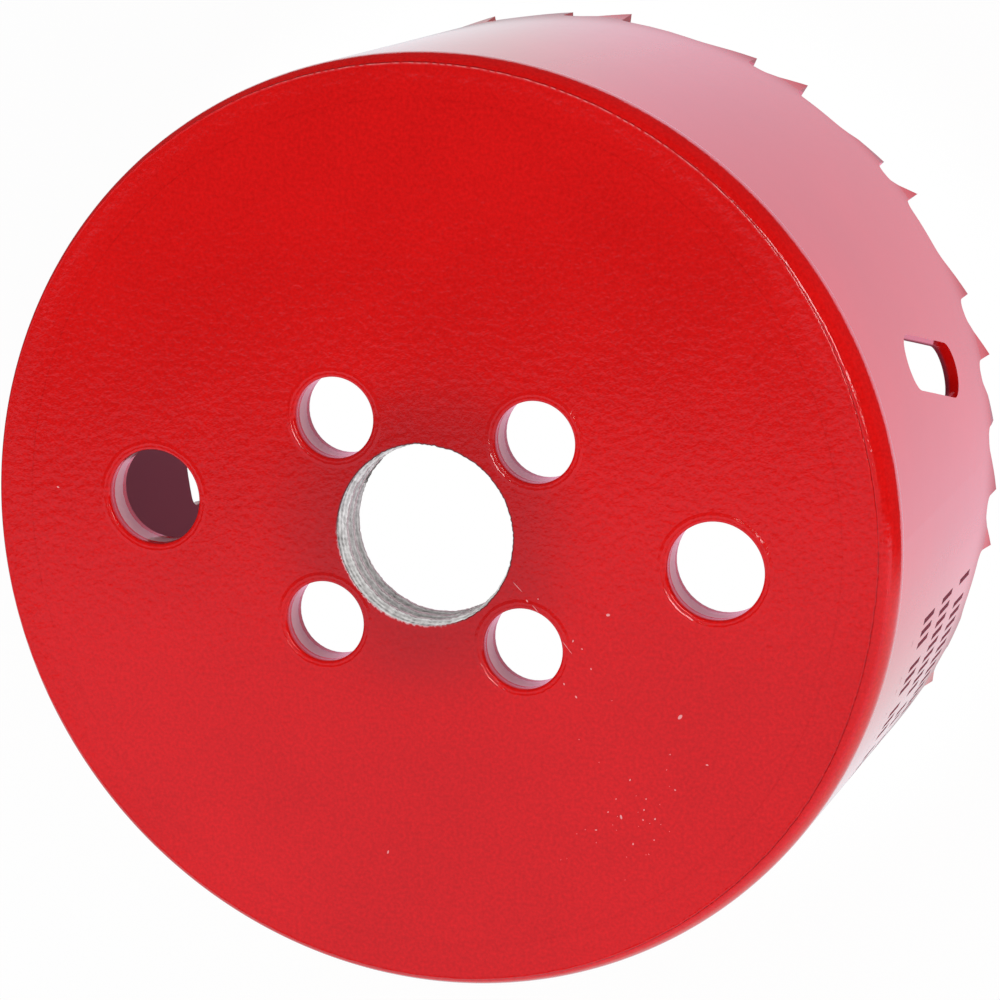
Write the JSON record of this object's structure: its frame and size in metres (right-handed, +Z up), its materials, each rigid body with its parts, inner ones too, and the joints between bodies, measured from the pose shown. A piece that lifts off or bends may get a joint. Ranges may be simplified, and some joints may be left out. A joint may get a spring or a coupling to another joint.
{
  "type": "hole saw",
  "caption": "Cup-shaped hole saw: toothed rim of varied pitch, slanted wall slots, and a back plate with a threaded arbor hole, drive pin holes and larger push-out holes.",
  "frame": {"origin": "on the saw's axis, in the plane of the tooth tips it stands on", "axes": "+Z runs up the axis from the tooth tips to the back plate; +X points 4.6 degrees past one of the two larger holes of the plate"},
  "size_m": [0.078, 0.078, 0.0414],
  "materials": {
    "red_paint": "gloss"
  },
  "bodies": {
    "root": {"back_plate": "red_paint", "toothed_shell": "red_paint"}
  },
  "joints": []
}
